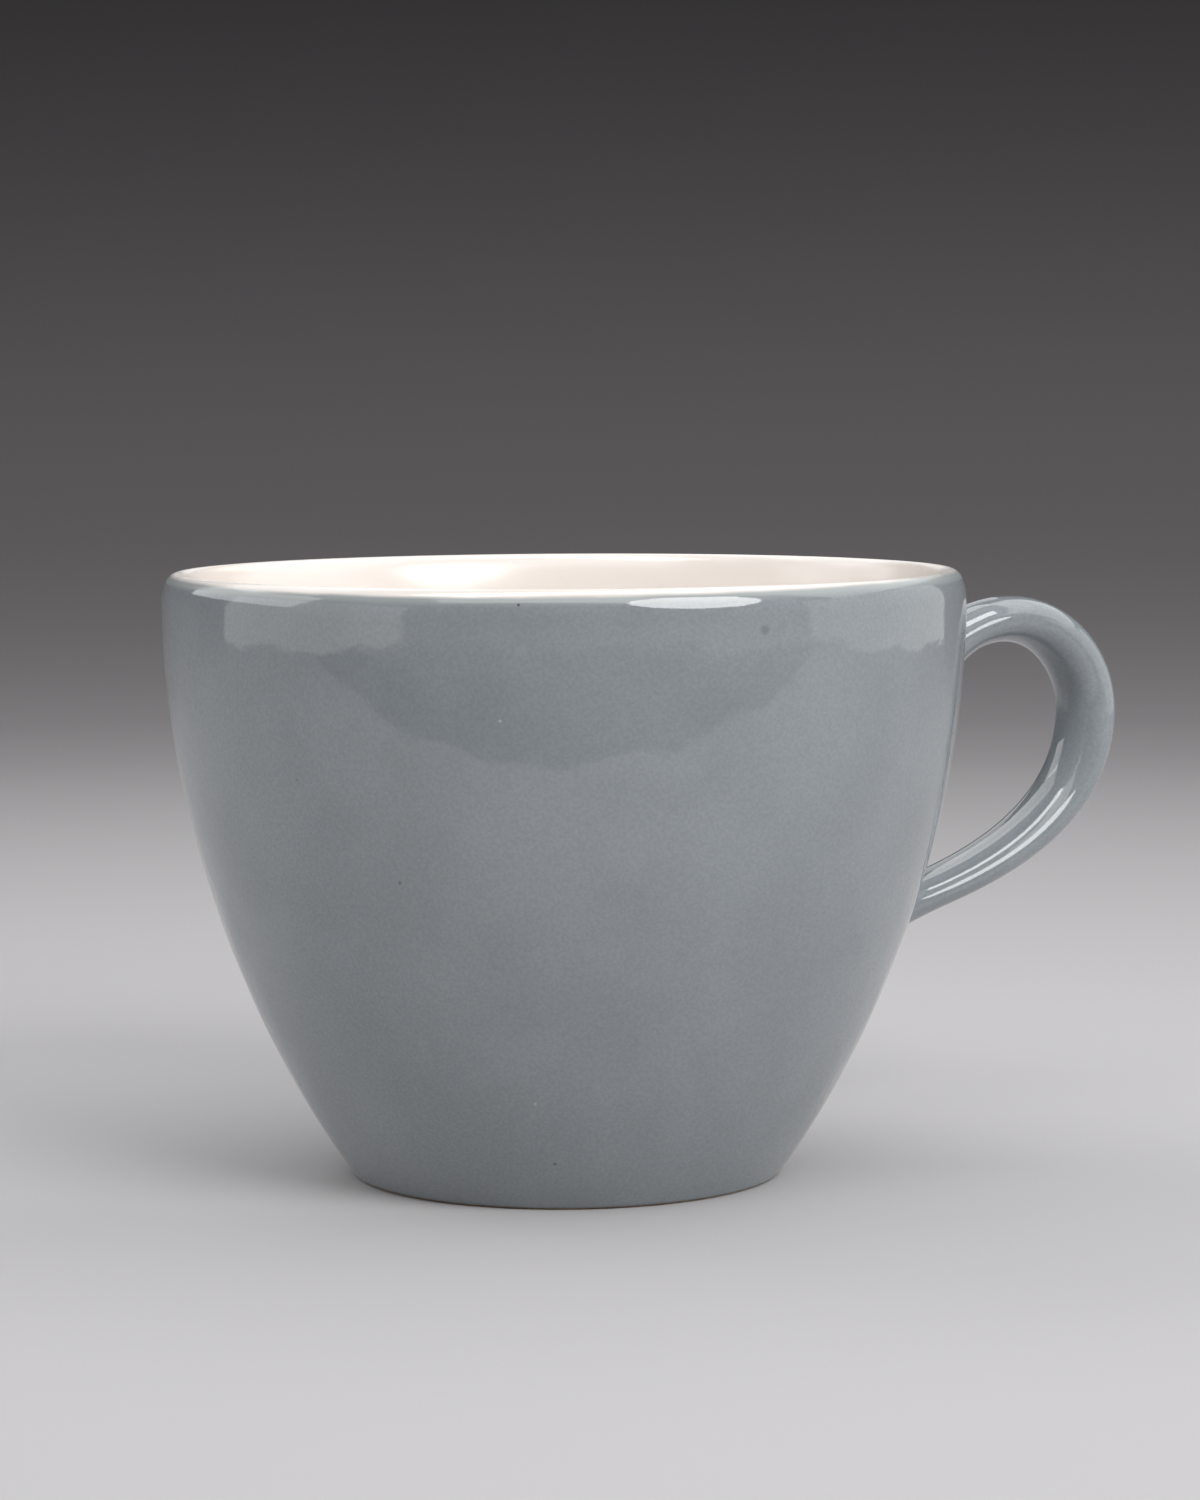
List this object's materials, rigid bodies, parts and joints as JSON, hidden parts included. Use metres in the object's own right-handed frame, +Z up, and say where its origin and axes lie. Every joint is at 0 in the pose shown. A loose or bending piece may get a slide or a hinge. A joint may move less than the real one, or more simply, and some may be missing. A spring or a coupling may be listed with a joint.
{
  "type": "coffee mug",
  "caption": "Wide tapered ceramic coffee mug with a looped strap handle, blue-grey glaze outside, cream glaze inside and a bare clay foot ring.",
  "frame": {"origin": "on the table, under the middle of the whole mug's bounding box, handle included; the mug's own axis stands 15.1 mm to the -X side of it", "axes": "+Z up along the mug's axis, +X towards the handle, +Y to the left of the handle seen from the mug's axis"},
  "size_m": [0.1302, 0.1, 0.0756],
  "materials": {
    "clay": "bare fired earthenware, matte",
    "slip": "fired luting slip, matte",
    "blue_grey_glaze": "glossy",
    "cream_glaze": "glossy"
  },
  "bodies": {
    "root": {"body": "clay", "handle": "clay", "upper_slip": "slip", "lower_slip": "slip", "outer_glaze": "blue_grey_glaze", "inner_glaze": "cream_glaze", "handle_glaze": "blue_grey_glaze", "base_glaze": "cream_glaze"}
  },
  "joints": []
}
